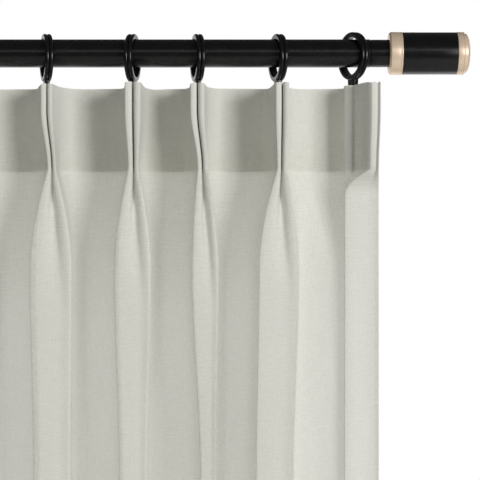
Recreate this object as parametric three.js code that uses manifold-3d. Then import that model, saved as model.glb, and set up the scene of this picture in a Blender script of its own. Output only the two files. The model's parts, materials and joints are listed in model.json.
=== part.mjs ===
// Pinch-pleated side panels hung by rings on a wall-mounted rod with drum finials.
// Millimetres. +X runs along the rod, +Y points at the wall, +Z is up.
// The origin lies on the wall, midway between the two brackets, level with the rod's axis.
import * as THREE from 'three';
import { mergeVertices } from 'three/addons/utils/BufferGeometryUtils.js';
import Module from 'manifold-3d';

const wasm = await Module();
wasm.setup();

// ---- driving dimensions ----
const GAP = 0.3; // left between pieces that touch
const PROJECTION = 88; // wall to rod axis
const SPAN = 1800; // between the finials' inner faces
const ROD_R = 14;
const ROD_WALL = 1.2;

const COLLAR_LENGTH = 18.5; // black neck between rod and finial
const COLLAR_R = 13.7;
const SPIGOT_LENGTH = 35;
const STUD_R = 4;
const STUD_END = 30;
const FINIAL_R = 21.25;
const BARREL_R = 21;
const BARREL_WALL = 2.5;
const BARREL_BASE = 8; // thickness of its floor, which the stud passes through
const CAP_PLUG = 5; // how far the end cap reaches into the barrel
const INNER_BAND = 13;
const BARREL_END = 67.5;
const END_BAND = 74.6;
const DOME_R = 19.7;
const FINIAL_LENGTH = 81.2;

const RING_INNER_R = 19;
const RING_OUTER_R = 24;
const RING_WIDTH = 8;
const LUG_WIDTH = 10;
const LUG_THICKNESS = 5;
const LUG_DROP = 9; // below the ring
const EYE_R = 2.2;
const HOOK_WIRE_R = 0.9;

const HEADING_TOP = -32.5; // below the rod's axis
const HEADING = 85; // stiffened height, down to the pleats' tacks
const DROP = 2134; // heading top to bottom hem
const CLOTH = 0.8; // thickness of the cloth stand-ins
const PLEAT_BACK = -9; // the pleats' backs, in front of the rod's axis
const PLEAT_DEPTH = 32;
const PLEAT_TOP_WIDTH = 16;
const TACK_WIDTH = 12;
const FOLD_WIDTH = 26;
const FLARE = 150; // height over which a pleat opens into a fold
const SCALLOP = 0.28; // depth of the cloth between pleats, as a share of their spacing
const OUTER_EDGE = 22; // cloth beyond the outermost ring
const INNER_EDGE = 24; // cloth beyond the innermost ring

// From each finial inwards: the step to the next ring, and how far that ring is turned on the rod
const RINGS = {
  right: { steps: [35.5, 75, 80.5, 65, 86, 77], yaws: [28, 15, 11.5, -8.5, 15, -7] },
  left: { steps: [39, 79, 70, 82, 68, 80], yaws: [-24, 9, -14, -10, 13, -12] },
};

const BRACKET_X = 420;
const PLATE_R = 31;
const PLATE_THICKNESS = 6;
const ARM_R = 6;
const ARM_Z = -21;
const SADDLE_R = 18;
const SADDLE_WIDTH = 14;
const WALL_SCREW_OFFSET = 20; // above and below the plate's centre
const WALL_SCREW_LENGTH = 35;
const THUMB_R = 2.5;

// ---- materials ----
function finish(color, roughness, metalness) {
  return new THREE.MeshStandardMaterial({ color, roughness, metalness });
}
const satinBlack = () => finish(0x1b1a1b, 0.35, 0.6);
const champagne = () => finish(0xd9c3a8, 0.3, 0.9);
const linen = () => finish(0xc4c3b8, 0.9, 0);
const buckram = () => finish(0xe4e2da, 0.9, 0);
const steel = () => finish(0x9a9a98, 0.3, 0.9);

// ---- geometry helpers ----
function signedVolume(position, index) {
  const corners = [new THREE.Vector3(), new THREE.Vector3(), new THREE.Vector3()];
  let sum = 0;
  for (let i = 0; i < index.length; i += 3) {
    corners.forEach((corner, k) => corner.fromBufferAttribute(position, index[i + k]));
    sum += corners[0].dot(corners[1].clone().cross(corners[2]));
  }
  return sum / 6;
}

// One welded body with its faces pointing out
function weld(geometry) {
  const bare = geometry.clone();
  for (const name of ['normal', 'uv']) bare.deleteAttribute(name);
  const merged = mergeVertices(bare);
  let index = [];
  const all = merged.index.array;
  for (let i = 0; i < all.length; i += 3) {
    const [a, b, c] = [all[i], all[i + 1], all[i + 2]];
    if (a !== b && b !== c && c !== a) index.push(a, b, c);
  }
  const inward = signedVolume(merged.attributes.position, index) < 0;
  if (inward) index = index.reverse();
  merged.setIndex(index);
  return merged;
}

function solidOf(geometry) {
  const body = weld(geometry);
  return new wasm.Manifold(new wasm.Mesh({
    numProp: 3,
    vertProperties: new Float32Array(body.attributes.position.array),
    triVerts: new Uint32Array(body.index.array),
  }));
}

function geometryOf(solid) {
  const mesh = solid.getMesh();
  const geometry = new THREE.BufferGeometry();
  geometry.setAttribute('position', new THREE.BufferAttribute(mesh.vertProperties, 3));
  geometry.setIndex(new THREE.BufferAttribute(mesh.triVerts, 1));
  return geometry;
}

// A body of revolution about +X from [along, radius] points
function revolve(profile, segments = 28) {
  const points = profile.map(([along, radius]) => new THREE.Vector2(radius, along));
  return new THREE.LatheGeometry(points, segments).rotateZ(-Math.PI / 2);
}

const closed = (profile) => [...profile, profile[0]];

// A ribbon of cloth through plan points, standing from bottom up to top
function ribbon(line, bottom, top) {
  const front = line.map(([x, y]) => new THREE.Vector2(x, y - CLOTH / 2));
  const back = line.map(([x, y]) => new THREE.Vector2(x, y + CLOTH / 2)).reverse();
  const shape = new THREE.Shape([...front, ...back]);
  const geometry = new THREE.ExtrudeGeometry(shape, { depth: top - bottom, bevelEnabled: false });
  return geometry.translate(0, 0, bottom);
}

const model = new THREE.Group();
model.name = 'curtains';
const rail = new THREE.Group(); // its origin is on the rod's axis
rail.position.y = -PROJECTION;
model.add(rail);

function place(name, geometry, material, parent = rail) {
  const body = weld(geometry);
  body.computeVertexNormals();
  const mesh = new THREE.Mesh(body, material);
  mesh.name = name;
  parent.add(mesh);
  return mesh;
}

// ---- rod ----
function addRod() {
  const half = SPAN / 2 - COLLAR_LENGTH - GAP;
  const bore = ROD_R - ROD_WALL;
  const tube = closed([[-half, bore], [-half, ROD_R], [half, ROD_R], [half, bore]]);
  place('rod', revolve(tube, 32), satinBlack());
}

// ---- finials: drawn pointing along +X from their inner face ----
function addFinial(side, direction) {
  const finial = new THREE.Group();
  finial.position.x = direction * SPAN / 2;
  if (direction < 0) finial.rotation.z = Math.PI;
  rail.add(finial);

  const spigotR = ROD_R - ROD_WALL - GAP;
  const seat = INNER_BAND / 2;
  place(`${side}_finial_collar`, revolve([
    [-COLLAR_LENGTH - SPIGOT_LENGTH, 0], [-COLLAR_LENGTH - SPIGOT_LENGTH, spigotR],
    [-COLLAR_LENGTH, spigotR], [-COLLAR_LENGTH, COLLAR_R],
    [seat, COLLAR_R], [seat, STUD_R], [STUD_END, STUD_R], [STUD_END, 0],
  ]), satinBlack(), finial);

  const bore = COLLAR_R + GAP;
  const chamfer = 1.5;
  place(`${side}_finial_inner_band`, revolve(closed([
    [0, bore], [0, FINIAL_R - chamfer], [chamfer, FINIAL_R], [INNER_BAND, FINIAL_R], [INNER_BAND, bore],
  ])), champagne(), finial);

  const shellR = BARREL_R - BARREL_WALL;
  const base = INNER_BAND + GAP;
  const studHole = STUD_R + GAP;
  place(`${side}_finial_barrel`, revolve(closed([
    [base, studHole], [base, BARREL_R], [BARREL_END, BARREL_R], [BARREL_END, shellR],
    [base + BARREL_BASE, shellR], [base + BARREL_BASE, studHole],
  ])), satinBlack(), finial);

  const dome = [];
  const domeStart = END_BAND + 2;
  for (let i = 0; i <= 4; i += 1) {
    const a = i / 4 * Math.PI / 2;
    dome.push([domeStart + (FINIAL_LENGTH - domeStart) * Math.sin(a), DOME_R * Math.cos(a)]);
  }
  dome[4][1] = 0;
  const capStart = BARREL_END + GAP;
  const plugR = shellR - GAP;
  place(`${side}_finial_end_cap`, revolve([
    [capStart - CAP_PLUG, 0], [capStart - CAP_PLUG, plugR], [capStart, plugR],
    [capStart, FINIAL_R], [END_BAND, FINIAL_R], [END_BAND, DOME_R], ...dome,
  ]), champagne(), finial);
}

// ---- rings: each hangs on the rod and is turned a little about the vertical ----
// The ring's centre, as low as its bore lets it hang on the rod at this turn
function hangHeight(yaw) {
  const reach = ROD_R + GAP;
  let height = -RING_INNER_R;
  for (let a = 0; a <= 90; a += 5) {
    const turn = a * Math.PI / 180;
    const across = reach * Math.sin(turn) / Math.cos(yaw) + Math.abs(RING_WIDTH / 2 * Math.tan(yaw));
    const chord = Math.sqrt(RING_INNER_R ** 2 - across ** 2);
    height = Math.max(height, reach * Math.cos(turn) - chord);
  }
  return height;
}

// A band with two rounded ridges, and an eyelet lug below, in the ring's own frame
function ringGeometry() {
  const half = RING_WIDTH / 2;
  const band = revolve(closed([
    [-half, RING_INNER_R], [-half, RING_OUTER_R - 1], [-half / 2, RING_OUTER_R], [0, RING_OUTER_R - 0.8],
    [half / 2, RING_OUTER_R], [half, RING_OUTER_R - 1], [half, RING_INNER_R],
  ]), 24);
  const top = -RING_OUTER_R + 2;
  const bottom = -RING_OUTER_R - LUG_DROP;
  const lug = new THREE.Shape([
    new THREE.Vector2(-LUG_WIDTH / 2 - 1, top), new THREE.Vector2(-LUG_WIDTH / 2, bottom + 2),
    new THREE.Vector2(-LUG_WIDTH / 2 + 2, bottom), new THREE.Vector2(LUG_WIDTH / 2 - 2, bottom),
    new THREE.Vector2(LUG_WIDTH / 2, bottom + 2), new THREE.Vector2(LUG_WIDTH / 2 + 1, top),
  ]);
  const eye = new THREE.Path();
  eye.absarc(0, bottom + EYE_R + 1.6, EYE_R, 0, 2 * Math.PI, true);
  lug.holes.push(eye);
  const plate = new THREE.ExtrudeGeometry(lug, {
    depth: LUG_THICKNESS, bevelEnabled: false, curveSegments: 5,
  });
  plate.translate(0, 0, -LUG_THICKNESS / 2).rotateX(Math.PI / 2).rotateZ(Math.PI / 2);
  return geometryOf(solidOf(band).add(solidOf(plate)));
}

// A bent wire pin: its short tip hooks down through the eyelet, its shank stands behind the heading
function hookGeometry() {
  const eyeZ = -RING_OUTER_R - LUG_DROP + EYE_R + 1.6;
  const side = 5;
  const foot = eyeZ - 48;
  const route = new THREE.CatmullRomCurve3([
    [side, eyeZ - 8], [side, eyeZ - 3], [side * 0.62, eyeZ - 0.2], [0, eyeZ + 0.4],
    [-side * 0.62, eyeZ - 0.2], [-side, eyeZ - 3], [-side, foot + 4],
    [-side * 0.7, foot + 0.8], [0, foot], [side * 0.7, foot + 0.8], [side, foot + 4], [side, foot + 24],
  ].map(([x, z]) => new THREE.Vector3(x, 0, z)), false, 'centripetal');
  const section = new THREE.Shape();
  section.absarc(0, 0, HOOK_WIRE_R, 0, 2 * Math.PI, false);
  return new THREE.ExtrudeGeometry(section, { steps: 22, curveSegments: 3, extrudePath: route });
}

// ---- cloth stand-ins ----
// One pleat: pinched through the heading, flaring below its tack into a flat-fronted fold
function foldGeometry() {
  const front = PLEAT_BACK - PLEAT_DEPTH;
  const outline = (inset) => {
    const half = FOLD_WIDTH / 2 - inset;
    return [[-half, PLEAT_BACK], [-half, front + inset], [half, front + inset], [half, PLEAT_BACK]];
  };
  const line = [...outline(0), ...outline(CLOTH).reverse()];
  const shape = new THREE.Shape(line.map(([x, y]) => new THREE.Vector2(x, y)));
  const levels = [
    { below: DROP, width: FOLD_WIDTH }, { below: HEADING + FLARE, width: FOLD_WIDTH },
    { below: HEADING, width: TACK_WIDTH }, { below: 0, width: PLEAT_TOP_WIDTH },
  ];
  const steps = levels.length - 1;
  const geometry = new THREE.ExtrudeGeometry(shape, { depth: steps, steps, bevelEnabled: false });
  const position = geometry.attributes.position;
  for (let i = 0; i < position.count; i += 1) {
    const level = levels[Math.round(position.getZ(i))];
    position.setX(i, position.getX(i) * level.width / FOLD_WIDTH);
    position.setZ(i, HEADING_TOP - level.below);
  }
  return geometry;
}

// The plan line of the cloth behind the pleats: flat at each ring, bowed back in between
function scallopLine(xs, direction) {
  const back = PLEAT_BACK + GAP + CLOTH / 2 + 0.2;
  const bows = 10;
  const line = [[xs[0] + direction * OUTER_EDGE, back]];
  for (let i = 0; i + 1 < xs.length; i += 1) {
    const depth = SCALLOP * Math.abs(xs[i + 1] - xs[i]);
    for (let k = 0; k < bows; k += 1) {
      const u = k / bows;
      const bow = depth * (1 - Math.cos(2 * Math.PI * u)) / 2;
      line.push([THREE.MathUtils.lerp(xs[i], xs[i + 1], u), back + bow]);
    }
  }
  const last = xs[xs.length - 1];
  line.push([last, back], [last - direction * INNER_EDGE, back]);
  return line;
}

function addPanel(side, direction) {
  const xs = [];
  let from = SPAN / 2;
  for (const step of RINGS[side].steps) {
    from -= step;
    xs.push(direction * from);
  }
  const line = scallopLine(xs, direction);
  const bottom = HEADING_TOP - DROP;
  place(`${side}_curtain_web`, ribbon(line, bottom, HEADING_TOP), linen());
  const behind = line.map(([x, y]) => [x, y + CLOTH + GAP]);
  place(`${side}_buckram`, ribbon(behind, HEADING_TOP - HEADING, HEADING_TOP - 1), buckram());

  xs.forEach((x, i) => {
    const number = i + 1;
    const yaw = RINGS[side].yaws[i] * Math.PI / 180;
    const hanger = new THREE.Group();
    hanger.position.set(x, 0, hangHeight(yaw));
    hanger.rotation.z = yaw;
    rail.add(hanger);
    place(`${side}_ring_${number}`, ringGeometry(), satinBlack(), hanger);
    place(`${side}_hook_${number}`, hookGeometry(), steel(), hanger);
    const fold = place(`${side}_fold_${number}`, foldGeometry(), linen());
    fold.position.x = x;
  });
}

// ---- brackets ----
const alongY = (geometry) => geometry.rotateZ(Math.PI / 2); // from +X to +Y
const upright = (geometry) => geometry.rotateY(-Math.PI / 2); // from +X to +Z

function addBracket(side, direction) {
  const bracket = new THREE.Group(); // its origin is on the wall
  bracket.position.x = direction * BRACKET_X;
  model.add(bracket);

  const screwR = 2;
  const edge = 1.5;
  const disc = alongY(revolve([
    [-PLATE_THICKNESS, 0], [-PLATE_THICKNESS, PLATE_R - edge], [-PLATE_THICKNESS + edge, PLATE_R],
    [0, PLATE_R], [0, 0],
  ], 32));
  let plate = solidOf(disc);
  for (const sign of [-1, 1]) {
    const hole = new THREE.CylinderGeometry(screwR + GAP, screwR + GAP, PLATE_THICKNESS * 3, 12);
    plate = plate.subtract(solidOf(hole.translate(0, 0, sign * WALL_SCREW_OFFSET)));
  }
  const rosette = place(`${side}_bracket_plate`, geometryOf(plate), satinBlack(), bracket);
  rosette.position.z = ARM_Z;

  const armLength = PROJECTION - PLATE_THICKNESS - GAP + ARM_R + 2;
  const armStart = -PLATE_THICKNESS - GAP;
  const arm = new THREE.CylinderGeometry(ARM_R, ARM_R, armLength, 16);
  arm.translate(0, armStart - armLength / 2, ARM_Z);
  const inner = ROD_R + GAP;
  const saddle = new THREE.Shape();
  saddle.absarc(0, 0, SADDLE_R, Math.PI, 2 * Math.PI, false);
  saddle.absarc(0, 0, inner, 2 * Math.PI, Math.PI, true);
  const cradle = new THREE.ExtrudeGeometry(saddle, {
    depth: SADDLE_WIDTH, curveSegments: 14, bevelEnabled: false,
  });
  cradle.translate(0, 0, -SADDLE_WIDTH / 2).rotateX(Math.PI / 2).rotateZ(Math.PI / 2);
  cradle.translate(0, -PROJECTION, 0);
  const bore = new THREE.CylinderGeometry(THUMB_R + GAP, THUMB_R + GAP, 4 * ARM_R, 12);
  bore.rotateX(Math.PI / 2).translate(0, -PROJECTION, ARM_Z);
  const support = solidOf(arm).add(solidOf(cradle)).subtract(solidOf(bore));
  place(`${side}_bracket_arm`, geometryOf(support), satinBlack(), bracket);

  const headTop = ARM_Z - ARM_R - 1;
  const headR = 6;
  const tip = -ROD_R - GAP;
  const thumb = place(`${side}_bracket_thumbscrew`, upright(revolve([
    [headTop - 8, 0], [headTop - 8, headR - 1], [headTop - 7, headR], [headTop - 1, headR],
    [headTop, headR - 1], [headTop, THUMB_R], [tip, THUMB_R], [tip, 0],
  ], 16)), satinBlack(), bracket);
  thumb.position.y = -PROJECTION;

  ['upper', 'lower'].forEach((level, i) => {
    const face = -PLATE_THICKNESS - GAP;
    const headHeight = 2.4;
    const screw = place(`${side}_${level}_wall_screw`, alongY(revolve([
      [face - headHeight, 0], [face - headHeight, 2], [face - 0.8, 4], [face, 4], [face, screwR],
      [face + WALL_SCREW_LENGTH - 4, screwR], [face + WALL_SCREW_LENGTH, 0],
    ], 12)), steel(), bracket);
    screw.position.z = ARM_Z + (i === 0 ? 1 : -1) * WALL_SCREW_OFFSET;
  });
}

addRod();
for (const [side, direction] of [['right', 1], ['left', -1]]) {
  addFinial(side, direction);
  addPanel(side, direction);
  addBracket(side, direction);
}

export default model;
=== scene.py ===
"""Pinch-pleated linen curtains hung by rings on a satin black rod with brass-banded drum finials."""

import json
import math

import bmesh
import bpy
import numpy as np
from mathutils import Matrix, Vector, noise


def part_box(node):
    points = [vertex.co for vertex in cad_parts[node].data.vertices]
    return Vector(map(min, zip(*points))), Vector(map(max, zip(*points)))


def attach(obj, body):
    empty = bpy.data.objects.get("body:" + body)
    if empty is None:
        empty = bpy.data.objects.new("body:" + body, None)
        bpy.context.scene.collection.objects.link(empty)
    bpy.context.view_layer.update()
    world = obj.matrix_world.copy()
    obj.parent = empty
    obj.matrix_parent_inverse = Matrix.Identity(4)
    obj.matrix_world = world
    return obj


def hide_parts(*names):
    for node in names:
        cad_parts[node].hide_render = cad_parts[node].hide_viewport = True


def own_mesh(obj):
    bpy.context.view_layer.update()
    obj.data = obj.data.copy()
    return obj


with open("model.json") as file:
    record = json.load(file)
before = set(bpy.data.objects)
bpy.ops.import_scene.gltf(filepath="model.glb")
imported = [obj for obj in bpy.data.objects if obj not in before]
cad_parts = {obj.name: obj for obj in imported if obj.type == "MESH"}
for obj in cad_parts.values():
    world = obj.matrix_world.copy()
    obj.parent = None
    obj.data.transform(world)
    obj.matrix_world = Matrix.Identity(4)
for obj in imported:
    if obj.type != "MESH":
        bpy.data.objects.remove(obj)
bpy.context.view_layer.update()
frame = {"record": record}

MM = 0.001
BODY_OF = {node: body for body, nodes in frame["record"]["behaviour"]["bodies"].items() for node in nodes}

# ---- places read from the frame ----
rod_low, rod_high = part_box("rod")
ROD_Y = (rod_low[1] + rod_high[1]) / 2
ROD_Z = (rod_low[2] + rod_high[2]) / 2
ROD_R = (rod_high[2] - rod_low[2]) / 2
HEADING_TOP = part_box("right_curtain_web")[1][2]
HEM_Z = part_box("right_curtain_web")[0][2]
TACK_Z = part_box("right_buckram")[0][2]
FINIAL_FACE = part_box("right_finial_inner_band")[0][0]


# ================= camera =================
def add_camera():
    """Level and square on to the rod, over the top corner of the right curtain."""
    distance = 1.55  # from the rod
    field = 0.48  # width of the view at the rod
    inward = 0.1485  # from the right finial's face to the middle of the view
    down = 0.1865  # from the rod's axis to the middle of the view
    camera = bpy.data.cameras.new("camera")
    camera.sensor_width = 36
    camera.lens = camera.sensor_width * distance / field
    camera.clip_end = 100
    obj = bpy.data.objects.new("camera", camera)
    obj.location = (FINIAL_FACE - inward, ROD_Y - distance, ROD_Z - down)
    obj.rotation_euler = (math.pi / 2, 0, 0)
    bpy.context.scene.collection.objects.link(obj)
    bpy.context.scene.camera = obj


add_camera()


# ================= materials =================
class Nodes:
    """A new material's node tree, with a short way to add and join nodes."""

    def __init__(self, name):
        self.material = bpy.data.materials.new(name)
        self.material.use_nodes = True
        self.tree = self.material.node_tree
        self.shader = self.tree.nodes["Principled BSDF"]
        self.output = self.tree.nodes["Material Output"]

    def add(self, kind, inputs=None, **settings):
        node = self.tree.nodes.new(kind)
        for key, value in settings.items():
            setattr(node, key, value)
        for key, value in (inputs or {}).items():
            self.feed(node.inputs[key], value)
        return node

    def feed(self, socket, value):
        if isinstance(value, bpy.types.NodeSocket):
            self.tree.links.new(value, socket)
        else:
            socket.default_value = value

    def math(self, operation, *values):
        node = self.add("ShaderNodeMath", operation=operation)
        for socket, value in zip(node.inputs, values):
            self.feed(socket, value)
        return node.outputs[0]

    def mix(self, factor, a, b):
        node = self.add("ShaderNodeMix", data_type="RGBA")
        for key, value in ((0, factor), (6, a), (7, b)):
            self.feed(node.inputs[key], value)
        return node.outputs[2]

    def noise(self, vector, scale, detail=2.0, roughness=0.5):
        inputs = {"Vector": vector, "Scale": scale, "Detail": detail, "Roughness": roughness}
        return self.add("ShaderNodeTexNoise", inputs).outputs["Fac"]

    def stretch(self, vector, scale):
        node = self.add("ShaderNodeMapping", {"Vector": vector, "Scale": scale})
        return node.outputs[0]

    def remap(self, value, low, high, to_low=0.0, to_high=1.0):
        node = self.add("ShaderNodeMapRange", {
            "Value": value, "From Min": low, "From Max": high, "To Min": to_low, "To Max": to_high,
        })
        return node.outputs[0]

    def bump(self, height, strength, distance):
        inputs = {"Height": height, "Strength": strength, "Distance": distance}
        return self.add("ShaderNodeBump", inputs).outputs[0]

    def set(self, **sockets):
        for key, value in sockets.items():
            self.feed(self.shader.inputs[key.replace("_", " ")], value)


def satin_black():
    """Powder coat: near black, satin, with a fine orange peel and a little wear-like mottling."""
    n = Nodes("satin_black")
    place = n.add("ShaderNodeTexCoord").outputs["Object"]
    mottle = n.noise(place, 60, 3)
    n.set(Base_Color=n.mix(mottle, (0.0035, 0.0032, 0.0035, 1), (0.006, 0.0055, 0.0058, 1)))
    n.set(Roughness=n.remap(mottle, 0.3, 0.7, 0.22, 0.30))
    n.feed(n.shader.inputs["Specular IOR Level"], 0.4)
    n.set(Normal=n.bump(n.noise(place, 1800, 2), 0.1, 0.0002))
    return n.material


def champagne_brass():
    """Pale brass, turned on a lathe: fine rings of brushing round the X axis."""
    n = Nodes("champagne_brass")
    place = n.add("ShaderNodeTexCoord").outputs["Object"]
    turned = n.noise(n.stretch(place, (4000, 30, 30)), 1, 2)
    cloud = n.noise(place, 45, 3)
    n.set(Base_Color=n.mix(cloud, (0.90, 0.69, 0.50, 1), (0.94, 0.76, 0.59, 1)))
    n.set(Metallic=0.4, Roughness=n.remap(turned, 0.3, 0.7, 0.3, 0.42))
    n.set(Normal=n.bump(turned, 0.15, 0.0001))
    return n.material


def plated_steel():
    """Bright zinc plate with soft clouding."""
    n = Nodes("plated_steel")
    place = n.add("ShaderNodeTexCoord").outputs["Object"]
    cloud = n.noise(place, 300, 3)
    n.set(Base_Color=n.mix(cloud, (0.55, 0.56, 0.57, 1), (0.72, 0.72, 0.71, 1)))
    n.set(Metallic=1.0, Roughness=n.remap(cloud, 0.3, 0.7, 0.22, 0.36))
    return n.material


def woven(name, pale, dark, thread, see_through, show_through):
    """Plain weave with slubs, seen through the gaps between its threads and lit through them from behind.
    The attribute cloth holds the place on the flat cloth in metres, and how far it is lined, from 0 to 1,
    with painted shade added in: a higher value lets less light through and so darkens the cloth.
    see_through and show_through are the shares for (lined, bare) cloth."""
    n = Nodes(name)
    place = n.add("ShaderNodeAttribute", attribute_name="cloth").outputs["Vector"]
    split = n.add("ShaderNodeSeparateXYZ", {"Vector": place})
    across, up, lining_and_shade = split.outputs
    warp = n.math("SINE", n.math("MULTIPLY", across, 2 * math.pi / thread))
    weft = n.math("SINE", n.math("MULTIPLY", up, 2 * math.pi / thread))
    grid = n.math("MULTIPLY", warp, weft)
    slub_up = n.noise(n.stretch(place, (1500, 110, 1)), 1, 3, 0.6)
    slub_across = n.noise(n.stretch(place, (95, 1400, 1)), 1, 3, 0.6)
    slubs = n.math("ADD", slub_up, slub_across)
    patch = n.noise(n.stretch(place, (14, 7, 1)), 1, 3)
    shade = n.math("ADD", n.math("MULTIPLY", slubs, 0.5), n.math("MULTIPLY", grid, 0.05))
    shade = n.math("ADD", shade, n.math("MULTIPLY", n.math("SUBTRACT", patch, 0.5), 0.16))
    colour = n.mix(n.remap(shade, 0.30, 0.70), dark, pale)
    height = n.math("ADD", n.math("MULTIPLY", slubs, 0.7), n.math("MULTIPLY", grid, 0.3))
    normal = n.bump(height, 0.4, 0.0004)
    n.set(Base_Color=colour, Roughness=0.85, Normal=normal, Sheen_Weight=0.25, Sheen_Roughness=0.5)
    n.feed(n.shader.inputs["Specular IOR Level"], 0.2)
    glow = n.add("ShaderNodeBsdfTranslucent", {"Color": colour, "Normal": normal})
    # Painted shade: the share below is the unlined cloth less the painted shade from flat_places, so less
    # light shows through where shade is painted.
    bare_and_lit = n.math("SUBTRACT", 1.0, lining_and_shade)
    through = n.math("MULTIPLY_ADD", bare_and_lit, show_through[1] - show_through[0], show_through[0])
    cloth = n.add("ShaderNodeMixShader", {0: through, 1: n.shader.outputs[0], 2: glow.outputs[0]})
    gaps = n.remap(slubs, 0.75, 1.2, see_through[1] * 1.6, see_through[1] * 0.4)
    open_share = n.math("MULTIPLY", gaps, n.math("MULTIPLY_ADD", bare_and_lit, 1 - see_through[0], see_through[0]))
    clear = n.add("ShaderNodeBsdfTransparent")
    full = n.add("ShaderNodeMixShader", {0: open_share, 1: cloth.outputs[0], 2: clear.outputs[0]})
    n.feed(n.output.inputs["Surface"], full.outputs[0])
    return n.material


def stage_floor():
    """A plain pale studio floor with a faint unevenness."""
    n = Nodes("studio_floor")
    place = n.add("ShaderNodeTexCoord").outputs["Object"]
    n.set(Base_Color=n.mix(n.noise(place, 3, 3), (0.88, 0.88, 0.87, 1), (0.92, 0.92, 0.91, 1)))
    n.set(Roughness=0.7)
    return n.material


BLACK = satin_black()
BRASS = champagne_brass()
STEEL = plated_steel()
LINEN = woven("linen", (0.90, 0.895, 0.825, 1), (0.76, 0.755, 0.69, 1), 0.0009, (0.0, 0.12), (0.04, 0.50))
BUCKRAM = woven("buckram", (0.86, 0.85, 0.81, 1), (0.74, 0.73, 0.69, 1), 0.0016, (0.0, 0.0), (0.03, 0.03))


# ================= mesh helpers =================
def new_object(name, mesh, material, slot, *nodes):
    """Links a finished piece, which takes its body and place from the CAD nodes it replaces."""
    obj = bpy.data.objects.new(name, mesh)
    bpy.context.scene.collection.objects.link(obj)
    obj.data.materials.clear()
    obj.data.materials.append(material)
    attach(obj, BODY_OF[nodes[0]])
    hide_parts(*nodes)
    return obj


def smooth(mesh, angle=40):
    mesh.polygons.foreach_set("use_smooth", [True] * len(mesh.polygons))
    mesh.set_sharp_from_angle(angle=math.radians(angle))
    mesh.update()


def grid_mesh(name, points, wrap_columns=False):
    """A mesh of quads over points[row][column]."""
    points = np.asarray(points, float)
    rows, columns = points.shape[:2]
    index = np.arange(rows * columns).reshape(rows, columns)
    here, down = index[:-1], index[1:]
    if wrap_columns:
        right, down_right = np.roll(here, -1, 1), np.roll(down, -1, 1)
    else:
        right, down_right = here[:, 1:], down[:, 1:]
        here, down = here[:, :-1], down[:, :-1]
    faces = np.stack([here, right, down_right, down], -1).reshape(-1, 4)
    mesh = bpy.data.meshes.new(name)
    mesh.from_pydata(points.reshape(-1, 3).tolist(), [], faces.tolist())
    return mesh


def filleted(profile, radius, steps=4):
    """The profile with each inner corner rounded by a small curve."""
    points = [Vector(p) for p in profile]
    out = [points[0]]
    for before, corner, after in zip(points, points[1:], points[2:]):
        legs = [before - corner, after - corner]
        reach = min(radius, legs[0].length * 0.45, legs[1].length * 0.45)
        start, end = (corner + leg.normalized() * reach for leg in legs)
        for i in range(steps + 1):
            t = i / steps
            out.append(start * (1 - t) ** 2 + corner * 2 * t * (1 - t) + end * t ** 2)
    return out + [points[-1]]


def weld(mesh):
    """Joins points that coincide, and turns every face outwards."""
    bm = bmesh.new()
    bm.from_mesh(mesh)
    bmesh.ops.remove_doubles(bm, verts=bm.verts, dist=1e-6)
    bmesh.ops.recalc_face_normals(bm, faces=bm.faces)
    bm.to_mesh(mesh)
    bm.free()
    smooth(mesh)
    return mesh


def lathe_mesh(name, profile, segments=96, knurl=None):
    """Turns (along, radius) points round the X axis. Ends on the axis are closed to a point."""
    rows = []
    for along, radius in profile:
        radius = max(radius, 0.0)
        row = []
        for i in range(segments):
            a = 2 * math.pi * i / segments
            r = radius * (knurl(along, a) if knurl else 1)
            row.append((along, r * math.cos(a), r * math.sin(a)))
        rows.append(row)
    return weld(grid_mesh(name, rows, wrap_columns=True))


def loop_mesh(name, profile, segments=96):
    """As lathe_mesh, for a closed profile that doesn't reach the axis."""
    return lathe_mesh(name, [*profile, profile[0]], segments)


def mesh_of_curve(name, curve):
    holder = bpy.data.objects.new(name, curve)
    bpy.context.scene.collection.objects.link(holder)
    bpy.context.view_layer.update()
    mesh = bpy.data.meshes.new_from_object(holder.evaluated_get(bpy.context.evaluated_depsgraph_get()))
    bpy.data.objects.remove(holder)
    return mesh


def outline_mesh(name, loops, thickness, bevel):
    """Flat outlines, each a list of (across, up) points, given a thickness along X and rounded edges."""
    curve = bpy.data.curves.new(name, "CURVE")
    curve.dimensions = "2D"
    curve.fill_mode = "BOTH"
    curve.extrude = thickness / 2 - bevel
    curve.bevel_depth = bevel
    curve.bevel_resolution = 3
    for points in loops:
        spline = curve.splines.new("POLY")
        spline.points.add(len(points) - 1)
        for slot, (across, up) in zip(spline.points, points):
            slot.co = (across, up, 0, 1)
        spline.use_cyclic_u = True
    mesh = mesh_of_curve(name, curve)
    mesh.transform(Matrix(((0, 0, 1, 0), (1, 0, 0, 0), (0, 1, 0, 0), (0, 0, 0, 1))))
    return weld(mesh)


def joined(name, meshes):
    bm = bmesh.new()
    for mesh in meshes:
        bm.from_mesh(mesh)
    whole = bpy.data.meshes.new(name)
    bm.to_mesh(whole)
    bm.free()
    smooth(whole)
    return whole


def arc(centre, radius, start, end, steps):
    """Points on an arc, by degrees."""
    out = []
    for i in range(steps + 1):
        a = math.radians(start + (end - start) * i / steps)
        out.append((centre[0] + radius * math.cos(a), centre[1] + radius * math.sin(a)))
    return out


def wire_mesh(name, points, radius):
    """A round wire along a smooth path."""
    curve = bpy.data.curves.new(name, "CURVE")
    curve.dimensions = "3D"
    curve.bevel_depth = radius
    curve.bevel_resolution = 4
    curve.use_fill_caps = True
    curve.resolution_u = 8
    spline = curve.splines.new("BEZIER")
    spline.bezier_points.add(len(points) - 1)
    for slot, point in zip(spline.bezier_points, points):
        slot.co = point
        slot.handle_left_type = slot.handle_right_type = "AUTO"
    mesh = mesh_of_curve(name, curve)
    smooth(mesh)
    return mesh


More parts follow.
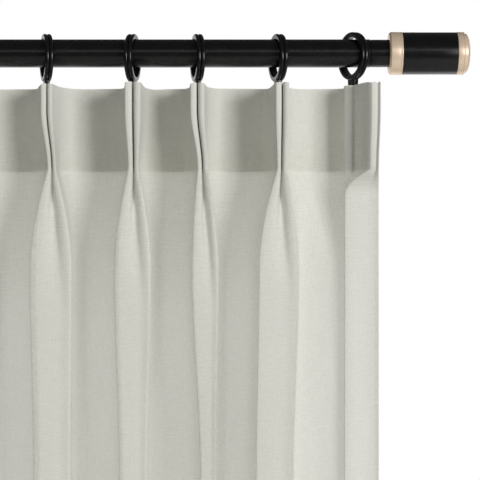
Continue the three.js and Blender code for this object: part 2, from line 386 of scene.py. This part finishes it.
# ================= rod and finials =================
def add_rod():
    half = rod_high[0]
    wall = 1.2 * MM
    lip = 0.4 * MM
    profile = [
        (-half, ROD_R - wall), (-half, ROD_R - lip), (-half + lip, ROD_R), (half - lip, ROD_R),
        (half, ROD_R - lip), (half, ROD_R - wall),
    ]
    mesh = loop_mesh("rod_tube", profile, 128)
    mesh.transform(Matrix.Translation((0, ROD_Y, ROD_Z)))
    new_object("rod_tube", mesh, BLACK, "satin_black", "rod")


def add_finial(side, direction):
    """Each piece is drawn from the finial's inner face outwards, to the sizes of its CAD node."""
    flip = Matrix.Rotation(math.pi, 4, "Z") if direction < 0 else Matrix.Identity(4)
    place = Matrix.Translation((direction * FINIAL_FACE, ROD_Y, ROD_Z)) @ flip

    def span(part):
        low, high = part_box(f"{side}_finial_{part}")
        ends = sorted(direction * x - FINIAL_FACE for x in (low[0], high[0]))
        return ends[0], ends[1], (high[2] - low[2]) / 2

    def finish_piece(part, mesh, material, slot):
        mesh.transform(place)
        new_object(f"{side}_finial_{part}_turned", mesh, material, slot, f"{side}_finial_{part}")

    start, _, neck = span("collar")
    spigot = 12.4 * MM  # radius of the part inside the rod
    shoulder = -18.5 * MM  # where the collar meets the rod
    inside = 6 * MM  # how far it reaches into the finial
    profile = [
        (start, 0), (start, spigot), (shoulder, spigot), (shoulder, neck), (inside, neck), (inside, 0),
    ]
    mesh = lathe_mesh("collar", filleted(profile, 0.5 * MM), 96)
    finish_piece("collar", mesh, BLACK, "satin_black")

    start, end, radius = span("inner_band")
    lip = 2.2 * MM  # from the band's end to its groove
    groove, groove_width = 0.35 * MM, 0.4 * MM
    slope = 1.6 * MM  # of its chamfered face
    edge = 0.22 * MM
    bore = neck + 0.3 * MM
    profile = filleted([
        (start, bore), (start, radius - slope), (start + slope, radius),
        (end - lip, radius), (end - lip, radius - groove), (end - lip + groove_width, radius - groove),
        (end - lip + groove_width, radius), (end, radius), (end, bore), (end - 1 * MM, bore),
    ], edge, 3)
    finish_piece("inner_band", loop_mesh("inner_band", profile, 128), BRASS, "champagne_brass")

    start, barrel_end, radius = span("barrel")
    inner = radius - 2.5 * MM
    stud_hole = 4.3 * MM
    base = start + 8 * MM
    profile = filleted([
        (start, stud_hole), (start, radius), (barrel_end, radius), (barrel_end, inner), (base, inner),
        (base, stud_hole),
    ], 0.3 * MM, 3)
    finish_piece("barrel", loop_mesh("barrel", profile, 128), BLACK, "satin_black")

    _, end, radius = span("end_cap")
    cap_start = barrel_end + 0.1 * MM
    plug_start, plug = cap_start - 5 * MM, inner - 0.3 * MM
    band_end = 74.6 * MM
    groove_start = band_end - 1.5 * MM
    dome_start = 76.4 * MM
    dome_r = 19.7 * MM
    dome = [
        (dome_start + (end - dome_start) * math.sin(a), dome_r * math.cos(a))
        for a in (math.radians(5 * i) for i in range(19))
    ]
    dome[-1] = (end, 0)
    profile = filleted([
        (plug_start, 0), (plug_start, plug), (cap_start, plug),
        (cap_start, radius), (groove_start, radius), (groove_start, radius - groove),
        (groove_start + groove_width, radius - groove), (groove_start + groove_width, radius),
        (band_end, radius), (band_end, dome_r), (dome_start, dome_r),
    ], edge, 3)
    mesh = lathe_mesh("end_cap", profile[:-1] + dome, 128)
    finish_piece("end_cap", mesh, BRASS, "champagne_brass")


# ================= rings and hooks =================
def ring_place(node):
    """The ring's centre and turn, read from its CAD node: its axis is the way it is thinnest."""
    low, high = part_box(node)
    mesh = bpy.data.objects[node].data
    outer = np.array([v.co for v in mesh.vertices if v.co.z > ROD_Z])
    spread = outer[:, :2] - outer[:, :2].mean(0)
    _, directions = np.linalg.eigh(spread.T @ spread)
    axis = directions[:, 0]
    return (low[0] + high[0]) / 2, high[2] - RING_OUTER_R, math.atan(axis[1] / axis[0])


RING_OUTER_R = 24 * MM
RING_INNER_R = 19 * MM
RING_WIDTH = 8 * MM
LUG_BOTTOM = -RING_OUTER_R - 9 * MM
EYE_R = 2.2 * MM
EYE_Z = LUG_BOTTOM + EYE_R + 1.6 * MM


def ring_mesh():
    """Two rounded ridges with a groove between them, a plain bore, and a flat eyelet lug."""
    half = RING_WIDTH / 2
    steps = 11
    shoulder = RING_OUTER_R - 1.9 * MM
    ridges = []
    for centre in (-half / 2, half / 2):
        for i in range(steps):
            t = math.pi - math.pi * i / (steps - 1)
            ridges.append((centre + half / 2 * math.cos(t), shoulder + 1.9 * MM * math.sin(t) ** 0.7))
    bore = RING_INNER_R
    profile = [
        (half - 0.7 * MM, bore), (-half + 0.7 * MM, bore), (-half + 0.2 * MM, bore + 0.2 * MM),
        (-half, bore + 0.8 * MM), *ridges, (half, bore + 0.8 * MM), (half - 0.2 * MM, bore + 0.2 * MM),
    ]
    band = loop_mesh("band", profile, 96)
    top = -RING_OUTER_R + 2 * MM
    wide, narrow = 6 * MM, 5 * MM
    corner = 2 * MM
    outline = [
        (wide, top), (-wide, top),
        *arc((-narrow + corner, LUG_BOTTOM + corner), corner, 180, 270, 6),
        *arc((narrow - corner, LUG_BOTTOM + corner), corner, 270, 360, 6),
    ]
    eye = arc((0, EYE_Z), EYE_R, 0, 345, 23)
    lug = outline_mesh("lug", [outline, eye], 5 * MM, 0.6 * MM)
    return joined("ring", [band, lug])


def hook_mesh():
    """A pin hook: a short crook through the eyelet, a long shank, and a pin standing up in the heading."""
    side = 3.8 * MM
    foot = EYE_Z - 48 * MM
    crook = [
        (side, EYE_Z - 8 * MM), (side, EYE_Z - 3 * MM), (0.62 * side, EYE_Z - 0.3 * MM),
        (0, EYE_Z + 0.5 * MM), (-0.62 * side, EYE_Z - 0.3 * MM), (-side, EYE_Z - 3 * MM),
    ]
    shank = [(-side, (EYE_Z + foot) / 2), (-side, foot + 5 * MM)]
    bend = [(-0.6 * side, foot + 0.8 * MM), (0, foot), (0.6 * side, foot + 0.8 * MM)]
    pin = [(side, foot + 5 * MM), (side, foot + 25 * MM)]
    path = crook + shank + bend + pin
    return wire_mesh("hook", [(x, 0, z) for x, z in path], 0.85 * MM)


def add_hangers(side):
    ring, hook = ring_mesh(), hook_mesh()
    number = 1
    while f"{side}_ring_{number}" in BODY_OF:
        node = f"{side}_ring_{number}"
        x, z, turn = ring_place(node)
        place = Matrix.Translation((x, ROD_Y, z)) @ Matrix.Rotation(turn, 4, "Z")
        for part, source, material, slot in (
            ("ring", ring, BLACK, "satin_black"), ("hook", hook, STEEL, "steel"),
        ):
            mesh = source.copy()
            mesh.transform(place)
            name = f"{side}_{part}_{number}"
            new_object(f"{name}_made", mesh, material, slot, name)
        number += 1


# ================= brackets =================
def add_bracket(side, direction):
    low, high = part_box(f"{side}_bracket_plate")
    x = (low[0] + high[0]) / 2
    z = (low[2] + high[2]) / 2
    radius, deep = (high[2] - low[2]) / 2, high[1] - low[1]
    to_room = Matrix.Rotation(-math.pi / 2, 4, "Z")  # from +X to -Y

    arm_r = 6 * MM
    profile = filleted([
        (0.0, 0.0), (0.0, radius), (deep - 1.5 * MM, radius), (deep, radius - 1.5 * MM), (deep, 0),
    ], 0.8 * MM)
    plate = lathe_mesh("plate", profile, 96)
    plate.transform(Matrix.Translation((x, 0, z)) @ to_room)
    new_object(f"{side}_bracket_plate_made", plate, BLACK, "satin_black", f"{side}_bracket_plate")

    low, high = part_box(f"{side}_bracket_arm")
    start, end = -high[1], -low[1]
    profile = [
        (start, 0), (start, arm_r + 3 * MM), (start + 2 * MM, arm_r + 3 * MM), (start + 5 * MM, arm_r),
        (end - 1.2 * MM, arm_r), (end, arm_r - 1.2 * MM), (end, 0),
    ]
    arm = lathe_mesh("arm", filleted(profile, 1.2 * MM), 64)
    arm.transform(Matrix.Translation((x, 0, z)) @ to_room)
    inner, outer = ROD_R + 0.3 * MM, ROD_R + 4 * MM
    outline = arc((0, 0), outer, 180, 360, 48) + arc((0, 0), inner, 360, 180, 48)
    saddle = outline_mesh("saddle", [outline], high[0] - low[0], 0.8 * MM)
    saddle.transform(Matrix.Translation((x, ROD_Y, ROD_Z)))
    made = joined("arm_saddle", [arm, saddle])
    new_object(f"{side}_bracket_arm_made", made, BLACK, "satin_black", f"{side}_bracket_arm")

    low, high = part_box(f"{side}_bracket_thumbscrew")
    head, head_r, shank = 8 * MM, 6 * MM, 2.5 * MM
    base = low[2]
    teeth = 24

    def knurled(along, angle):
        in_head = base + 1 * MM <= along <= base + head - 1 * MM
        return 1 + (0.035 * math.cos(teeth * angle) if in_head else 0)

    profile = filleted([
        (base, 0), (base, head_r - 1 * MM), (base + 1 * MM, head_r), (base + head - 1 * MM, head_r),
        (base + head, head_r - 1 * MM), (base + head, shank), (high[2], shank), (high[2], 0),
    ], 0.4 * MM)
    screw = lathe_mesh("thumbscrew", profile, 144, knurled)
    screw.transform(Matrix.Translation((x, ROD_Y, 0)) @ Matrix.Rotation(-math.pi / 2, 4, "Y"))
    node = f"{side}_bracket_thumbscrew"
    new_object(f"{node}_made", screw, BLACK, "satin_black", node)

    for level in ("upper", "lower"):
        add_wall_screw(f"{side}_{level}_wall_screw", x)


def add_wall_screw(node, x):
    low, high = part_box(node)
    z = (low[2] + high[2]) / 2
    start, end = low[1], high[1]
    head_r, shank = 4 * MM, 2 * MM
    under = start + 2.4 * MM  # the underside of its domed head
    profile = [
        (start, 0), (start, 1.9 * MM), (start + 0.5 * MM, 3.1 * MM), (under - 0.7 * MM, head_r),
        (under, head_r), (under, shank * 0.8),
    ]
    pitch = 1.6 * MM
    turns = int((end - 5 * MM - under) / pitch)
    for i in range(turns):
        at = under + pitch * (i + 0.5)
        profile += [(at, shank * 0.75), (at + pitch * 0.3, shank), (at + pitch * 0.45, shank * 0.75)]
    profile += [(end - 3 * MM, shank * 0.6), (end, 0)]
    screw = lathe_mesh("wall_screw", profile, 48)
    screw.transform(Matrix.Translation((x, 0, z)) @ Matrix.Rotation(math.pi / 2, 4, "Z"))
    made = new_object(f"{node}_made", screw, STEEL, "steel", node)
    cut_recess(made, Vector((x, start, z)))


def cut_recess(screw, head):
    """A cross recess in a screw's head."""
    length, depth, width = 4.2 * MM, 3 * MM, 0.8 * MM
    bm = bmesh.new()
    for size in ((length, depth, width), (width, depth, length)):
        made = bmesh.ops.create_cube(bm, size=1)
        bmesh.ops.scale(bm, vec=size, verts=made["verts"])
    bmesh.ops.translate(bm, vec=head, verts=bm.verts)
    cutter = bpy.data.objects.new("recess", bpy.data.meshes.new("recess"))
    bm.to_mesh(cutter.data)
    bm.free()
    bpy.context.scene.collection.objects.link(cutter)
    cut = screw.modifiers.new("recess", "BOOLEAN")
    cut.operation = "DIFFERENCE"
    cut.solver = "EXACT"
    cut.use_self = True
    cut.object = cutter
    bpy.context.view_layer.update()
    graph = bpy.context.evaluated_depsgraph_get()
    mesh = bpy.data.meshes.new_from_object(screw.evaluated_get(graph))
    screw.modifiers.clear()
    screw.data = mesh
    smooth(mesh)
    bpy.data.objects.remove(cutter)


# ================= cloth =================
# Each pleat's plan at four heights, in millimetres: heading top, tack, where the fold has opened, and low
# down. Each is its front's offset from its ring and its front's width. Where its feet aren't straight behind
# the front's edges, their offsets from the ring follow, and where its front isn't as far out as the others,
# that comes last.
RIGHT_PLEATS = [
    [(3, 15, -8, 9), (6, 10, -3, 7), (4, 36), (1, 33)],
    [(4.3, 11, -7.5, 14, 34), (10, 8, -3, 13.5, 39), (9.5, 40.5), (10.5, 35.5)],
    [(3, 15, -7.5, 12.5), (3.8, 10, -4, 6), (3, 35.5), (3.5, 27)],
    [(1, 13.5, -7.5, 10), (6, 9.5, -3.5, 6), (8.5, 26), (11, 15)],
    [(3.3, 13, -7.5, 7), (2.6, 9, -4.5, 5), (-0.2, 39), (-4.3, 36.5)],
    [(19.5, 9, -9.5, 20), (18, 8.5, -9, 19, 41), (7.5, 33, -9.5, 22, 17.5), (7.5, 33.5, -9.5, 22.5, 15.5)],
]
LEFT_PLEATS = [
    [(-18, 10, -19, 9.5), (-16.5, 9, -18, 8.5, 41), (-6, 31, -20, 9, 18), (-6, 31.5, -20, 9.5, 16)],
    [(-2, 14, -9, 7.5), (-3.5, 9.5, -5, 3), (-1, 38), (-4, 33)],
    [(2, 13.5, -7.5, 10), (-1.5, 9.5, -4.5, 3.5), (-6, 33), (-8, 27)],
    [(-3, 14.5, -10, 7.5), (-2.5, 10, -5, 3), (3, 37), (4.5, 34)],
    [(-2, 13, -8, 7.5), (-6, 9, -7, 2), (-7, 29), (-9, 20)],
    [(1, 14.5, -8, 8), (-3, 9.5, -5, 3), (-2, 36), (2, 31)],
]
FRONT_DEPTHS = (42.5, 43, 46, 45)  # the pleats' fronts before the rod's axis, at the same four heights
FOOT_INSET = 1.5  # an open fold's feet, inside its front's edges
TURN = 12.0  # a pleat whose front stands further than this from its ring is turned to that side
BASE_DEPTH = 9.5  # the pleats' backs, in front of the rod's axis
FLARE = 98.0  # below the tack, where a fold is fully open
PART = 40.0  # below the tack, where the valley between a pleat's two fingers is widest
CLOSE = 140.0  # below the tack, where that valley has gone
LOW = 300.0  # below the tack, where it has its lower shape
TURNED_FLARE = 0.24  # how soon a turned pleat opens, as a share of FLARE
TURNED_FLAT = 0.94  # how little its two fingers show in the heading

# A pleat's side, from foot to front: (share of the way across, share of the way forward)
PINCHED_WALL = [(0.0, 0.0), (0.40, 0.33), (0.88, 0.72), (1.0, 0.97)]
OPEN_WALL = [(0.0, 0.0), (0.55, 0.25), (0.95, 0.66), (1.02, 0.95)]
TURNED_WALL = [
    (0.02, -0.12), (-0.02, -0.04), (0.04, 0.02), (0.29, 0.10),
    (0.36, 0.07), (0.39, 0.01), (0.64, 0.60), (0.88, 0.93),
]
OPEN_TURNED_WALL = [
    (0.0, 0.0), (0.0, 0.10), (0.06, 0.25), (0.16, 0.45),
    (0.30, 0.60), (0.48, 0.74), (0.70, 0.86), (0.95, 0.97),
]
WALL_DIP = [2.0, 1.4, 0.6, 0.3]  # how far the heading's top edge dips there, in millimetres
TURNED_DIP = [3.0, 1.5, 0.8, 0.8, 0.8, 0.6, 0.3, 0.0]
# Its front, from left to right: (share of the way across, share of the way forward)
PINCHED_FRONT = [
    (-0.02, 1.05), (0.12, 1.06), (0.45, 1.05), (0.475, 0.75), (0.49, 0.35), (0.51, 0.35), (0.525, 0.75),
    (0.55, 1.05), (0.88, 1.06), (1.02, 1.05),
]
PARTING_FRONT = [
    (-0.01, 1.01), (0.14, 1.04), (0.36, 1.02), (0.42, 0.93), (0.49, 0.84), (0.58, 0.82), (0.65, 0.86),
    (0.70, 0.95), (0.86, 1.04), (1.01, 1.01),
]
OPEN_FRONT = [
    (0.0, 1.01), (0.08, 1.02), (0.28, 1.01), (0.48, 1.0), (0.62, 0.99), (0.72, 0.985), (0.80, 0.99),
    (0.88, 1.005), (0.95, 1.02), (1.01, 1.01),
]
FRONT_DIP = [1.6, 0.6, 0.0, 1.0, 1.2, 1.2, 1.0, 0.0, 0.6, 1.6]
# The cloth between two pleats: (share of the way across, depth behind the pleats' backs in millimetres)
HEADING_BOW = [(0.04, 9), (0.15, 20), (0.32, 28), (0.52, 31), (0.71, 32), (0.88, 29), (0.975, 17)]
LOWER_BOW = [(0.03, 14), (0.12, 27), (0.28, 32), (0.50, 33), (0.72, 32), (0.88, 27), (0.97, 14)]
BOW_DIP = [2.2, 2.6, 1.8, 1.0, 0.8, 1.2, 1.8]
# The one beside the right panel's turned pleat
EDGE_BOW = 0.8  # its depth, as a share of the others'
EDGE_BOW_LOSS = (0.35, 0.7)  # how much of that it loses as the pleats open, at its left and its right
EDGE_BOW_TUCK = 0.06  # how far its end goes in behind the turned pleat, as a share of its width

SAMPLES = 4  # columns of cloth for each control point
SIDE_HEM = 24.0  # in millimetres, as is the next
BOTTOM_HEM = 100.0
SWAY_START, SWAY_REACH = 350, 900  # the folds start to wander this far down, and are free after the next
RING_NUMBERS = range(1, 7)


def ease(t):
    t = min(max(t, 0.0), 1.0)
    return t * t * (3 - 2 * t)


def between(a, b, t):
    return np.asarray(a, float) * (1 - t) + np.asarray(b, float) * t


def full_plan(plan, usual_depth):
    """A pleat's plan at one height as (offset, width, left foot, right foot, front's depth)."""
    shift, width, *rest = plan
    feet = rest[:2] or (shift - width / 2 + FOOT_INSET, shift + width / 2 - FOOT_INSET)
    return shift, width, *feet, rest[2] if len(rest) > 2 else usual_depth


def blend_of_four(values, stages):
    """Between four values, by how far each of the three stages has gone."""
    value = np.array(values[0], float)
    for stage, before, after in zip(stages, values, values[1:]):
        value = value + stage * (np.array(after, float) - np.array(before, float))
    return value


def plan_controls(rings, pleats, below, edges, sway):
    """The cloth's plan at one height, as (across, forward, dip) control points in millimetres."""
    heading = -(TACK_Z - HEADING_TOP) / MM
    under = below - heading
    pinch, late = ease((below / heading - 0.3) / 0.7), ease((under - FLARE) / (LOW - FLARE))
    closed = ease((under - PART) / (CLOSE - PART))
    folds = []
    for x, keys, drift in zip(rings, pleats, sway):
        aside = keys[0][0]
        keys = [full_plan(key, depth) for key, depth in zip(keys, FRONT_DEPTHS)]
        turned_pleat = abs(aside) > TURN
        flare = FLARE * (TURNED_FLARE if turned_pleat else 1)
        opened, spread = ease(under / flare), math.sin(math.pi / 2 * min(max(under / flare, 0), 1))
        shift, width, foot_left, foot_right, front = blend_of_four(keys, (pinch, spread, late))
        ends = (shift - width / 2, shift + width / 2)
        fold = []
        for foot, end, turned in ((foot_left, ends[0], aside > TURN), (foot_right, ends[1], aside < -TURN)):
            walls = (TURNED_WALL, OPEN_TURNED_WALL) if turned else (PINCHED_WALL, OPEN_WALL)
            wall, dips = between(*walls, opened), TURNED_DIP if turned else WALL_DIP
            fold.append([
                (foot + (end - foot) * across, forward, dip) for (across, forward), dip in zip(wall, dips)
            ])
        middle = between(PINCHED_FRONT, PARTING_FRONT, ease(under / PART))
        middle = between(middle, OPEN_FRONT, max(closed, TURNED_FLAT if turned_pleat else 0))
        face = [(ends[0] + width * u, forward, dip) for (u, forward), dip in zip(middle, FRONT_DIP)]
        points = np.array(fold[0] + face + fold[1][::-1])
        points[:, 0] += x + drift[0]
        points[:, 1] = BASE_DEPTH + points[:, 1] * (front - BASE_DEPTH) + drift[1]
        folds.append(points)
    first, last = folds[0][0], folds[-1][-1]
    line = [
        (edges[0], BASE_DEPTH - 13, 0.0), (edges[0] + 0.3 * (first[0] - edges[0]), BASE_DEPTH - 14, 0.0),
        (edges[0] + 0.75 * (first[0] - edges[0]), BASE_DEPTH - 9, 0.0),
    ]
    for fold, after in zip(folds, folds[1:] + [None]):
        line += [tuple(point) for point in fold]
        if after is None:
            break
        start, end = fold[-1], after[0]
        opened = ease(under / FLARE)
        bow = between(HEADING_BOW, LOWER_BOW, opened)
        if after is folds[-1] and pleats is RIGHT_PLEATS:
            bow[:, 1] *= EDGE_BOW - opened * np.linspace(*EDGE_BOW_LOSS, len(bow))
            bow[-1, 0] += EDGE_BOW_TUCK
        for (share, depth), dip in zip(bow, BOW_DIP):
            across = start[0] + (end[0] - start[0]) * share
            line.append((across, start[1] + (end[1] - start[1]) * share - depth, dip))
    line += [
        (last[0] + 0.4 * (edges[1] - last[0]), BASE_DEPTH - 6, 0.0),
        (last[0] + 0.8 * (edges[1] - last[0]), BASE_DEPTH - 9, 0.0), (edges[1], BASE_DEPTH - 11, 0.0),
    ]
    return np.array(line, float)


def b_spline(controls, samples):
    """A smooth line near the control points, with the same number of samples for each."""
    padded = np.vstack([2 * controls[0] - controls[1], controls, 2 * controls[-1] - controls[-2]])
    out = []
    for i in range(1, len(padded) - 2):
        for k in range(samples):
            u = k / samples
            weights = (
                (1 - u) ** 3, 3 * u ** 3 - 6 * u ** 2 + 4, -3 * u ** 3 + 3 * u ** 2 + 3 * u + 1, u ** 3,
            )
            out.append(sum(w * padded[i - 1 + j] for j, w in enumerate(weights)) / 6)
    out.append(controls[-1])
    return np.array(out)


def heights():
    """Rows from the heading's top to the hem, closest where the pleats open."""
    drop = (HEADING_TOP - HEM_Z) / MM
    heading = (HEADING_TOP - TACK_Z) / MM
    rows = list(np.linspace(0, heading, 15))
    step = 5.0
    while rows[-1] + step < drop:
        rows.append(rows[-1] + step)
        step = min(step * (1.0 if rows[-1] < heading + 120 else 1.06), 26.0)
    return rows[:-1] + [drop]


def curtain_grid(side):
    """Points of one curtain, row by row, with each column's place across the flat cloth."""
    seed = 11 if side == "right" else 29
    rng = np.random.default_rng(seed)
    pleats = RIGHT_PLEATS if side == "right" else LEFT_PLEATS
    rings = sorted(ring_place(f"{side}_ring_{i}")[0] / MM for i in RING_NUMBERS)
    low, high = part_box(f"{side}_curtain_web")
    edges = (low[0] / MM, high[0] / MM)
    phases = rng.uniform(0, 2 * math.pi, (len(rings), 4))
    rows, lines = heights(), []
    for below in rows:
        loose = ease((below - SWAY_START) / SWAY_REACH)
        sway = [
            (
                loose * (4.0 * math.sin(below / 310 + p[0]) + 2.0 * math.sin(below / 140 + p[1])),
                loose * (3.0 * math.sin(below / 260 + p[2]) + 1.5 * math.sin(below / 120 + p[3])),
            )
            for p in phases
        ]
        lines.append(b_spline(plan_controls(rings, pleats, below, edges, sway), SAMPLES))
    lines = np.array(lines)
    steps = np.linalg.norm(np.diff(lines[..., :2], axis=1), axis=2)
    flat = np.concatenate([[0], np.cumsum(steps.mean(0))])
    return rows, lines, flat


def crumple(x, depth, below, amount):
    """Small soft creases, in millimetres."""
    place = Vector((x / 34, depth / 34, below / 90))
    fine = Vector((x / 13, depth / 13, below / 38))
    return amount * (noise.noise(place) * 1.0 + noise.noise(fine) * 0.45)


def flat_places(rows, flat, heading):
    """Each point's place on the flat cloth, and how far it is lined there with painted shade added in, for
    the attribute cloth.
    """
    below = rows - heading
    # Painted shade: the heading is lined, but it is made more opaque towards its top (1.0 down to 0.78), and
    # the bare cloth under the tack is made part opaque, fading from 0.52 to 0.08 over 170 mm, so less light
    # shows through and it reads darker. The hems' extra layers below are real.
    lining_and_shade = np.array([
        1.0 - 0.22 * row / heading if under <= 0.1 else 0.08 + 0.44 * (1 - ease(under / 170))
        for row, under in zip(rows, below)
    ])
    lining_and_shade = np.maximum(lining_and_shade, np.where(rows >= rows[-1] - BOTTOM_HEM, 0.3, 0.0))
    places = np.zeros((len(rows), len(flat), 3))
    places[..., 0] = flat[None, :] * MM
    places[..., 1] = rows[:, None] * MM
    places[..., 2] = lining_and_shade[:, None]
    edge = (flat < SIDE_HEM) | (flat > flat[-1] - SIDE_HEM)
    places[:, edge, 2] = np.maximum(places[:, edge, 2], 0.15)
    return places


def dress(mesh, places):
    attribute = mesh.attributes.new("cloth", "FLOAT_VECTOR", "POINT")
    attribute.data.foreach_set("vector", places.reshape(-1))
    smooth(mesh, 180)


def add_curtain(side):
    """One sheet of cloth, and the buckram tape behind its heading."""
    rows, lines, flat = curtain_grid(side)
    points = np.zeros((len(rows), lines.shape[1], 3))
    heading = (HEADING_TOP - TACK_Z) / MM
    for r, below in enumerate(rows):
        soft = ease((below - heading) / 60)
        for c, (x, depth, dip) in enumerate(lines[r]):
            ripple = crumple(x, depth, below, 0.25 + 1.0 * soft)
            lift = (1.3 * noise.noise(Vector((x / 40, depth / 50, 3.7))) - dip) * (1 - ease(below / 60))
            points[r, c] = (x * MM, ROD_Y - (depth + ripple) * MM, HEADING_TOP - (below - lift) * MM)
    mesh = grid_mesh(f"{side}_cloth", points)
    cloth = flat_places(np.array(rows), flat, heading)
    dress(mesh, cloth)
    nodes = [f"{side}_curtain_web"] + [f"{side}_fold_{i}" for i in RING_NUMBERS]
    curtain = new_object(f"{side}_curtain", mesh, LINEN, "linen", *nodes)
    squash_to_draw(curtain)

    tape_gap = 0.5 * MM
    tape_below = 1.5 * MM  # its top edge, under the cloth's
    behind = []
    last = sum(1 for below in rows if below <= heading + 0.1)
    for r in range(last):
        along = np.gradient(points[r, :, :2], axis=0)
        outward = np.stack([-along[:, 1], along[:, 0]], -1)
        outward /= np.linalg.norm(outward, axis=1)[:, None]
        row = points[r].copy()
        row[:, :2] += outward * tape_gap
        row[:, 2] -= tape_below * (1 - r / (last - 1))
        behind.append(row)
    tape = grid_mesh(f"{side}_tape", behind)
    dress(tape, cloth[:last])
    tape = new_object(f"{side}_heading_tape", tape, BUCKRAM, "buckram", f"{side}_buckram")
    squash_to_draw(tape)


def squash_to_draw(piece):
    """Gives the piece a mesh of its own."""
    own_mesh(piece)


# ================= light and floor =================
def add_area(name, location, target, size, power):
    light = bpy.data.lights.new(name, "AREA")
    light.shape = "RECTANGLE"
    light.size, light.size_y = size
    light.energy = power
    obj = bpy.data.objects.new(name, light)
    obj.location = location
    obj.rotation_euler = (Vector(target) - Vector(location)).to_track_quat("-Z", "Y").to_euler()
    obj.visible_camera = False
    bpy.context.scene.collection.objects.link(obj)


def add_studio():
    world = bpy.data.worlds.new("studio")
    bpy.context.scene.world = world
    world.use_nodes = True
    tree = world.node_tree
    back = tree.nodes["Background"]
    back.inputs["Color"].default_value = (1, 1, 1, 1)
    path = tree.nodes.new("ShaderNodeLightPath")
    level = tree.nodes.new("ShaderNodeMath")
    level.operation = "MULTIPLY_ADD"
    shine = tree.nodes.new("ShaderNodeMath")
    shine.operation = "MULTIPLY_ADD"
    ambient, seen, gloss = 0.22, 1.0, 0.10
    tree.links.new(path.outputs["Is Camera Ray"], level.inputs[0])
    level.inputs[1].default_value = seen - ambient
    level.inputs[2].default_value = ambient
    tree.links.new(path.outputs["Is Glossy Ray"], shine.inputs[0])
    shine.inputs[1].default_value = gloss - ambient
    tree.links.new(level.outputs[0], shine.inputs[2])
    tree.links.new(shine.outputs[0], back.inputs["Strength"])

    target = (FINIAL_FACE - 0.15, ROD_Y, ROD_Z - 0.2)
    add_area("key", (target[0] + 2.2, ROD_Y - 2.95, ROD_Z + 0.25), target, (1.2, 1.2), 80)
    behind = Vector((target[0] - 0.05, ROD_Y + 1.05, target[2] - 0.3))
    add_area("back", behind, behind - Vector((0, 1, 0)), (2.2, 1.8), 12.5)
    add_area("strip", (target[0], ROD_Y - 3.2, ROD_Z + 0.75), target, (2.6, 0.2), 5)

    floor_z = HEM_Z - 0.025
    floor = bpy.data.meshes.new("floor")
    half = 4.0
    corners = [(x * half, y * half, floor_z) for x, y in ((-1, -1), (1, -1), (1, 1), (-1, 1))]
    floor.from_pydata(corners, [], [(0, 1, 2, 3)])
    floor.materials.append(stage_floor())
    obj = bpy.data.objects.new("floor", floor)
    bpy.context.scene.collection.objects.link(obj)
    bpy.context.scene.view_settings.view_transform = "Standard"


add_rod()
for side, direction in (("right", 1), ("left", -1)):
    add_finial(side, direction)
    add_hangers(side)
    add_bracket(side, direction)
    add_curtain(side)
add_studio()
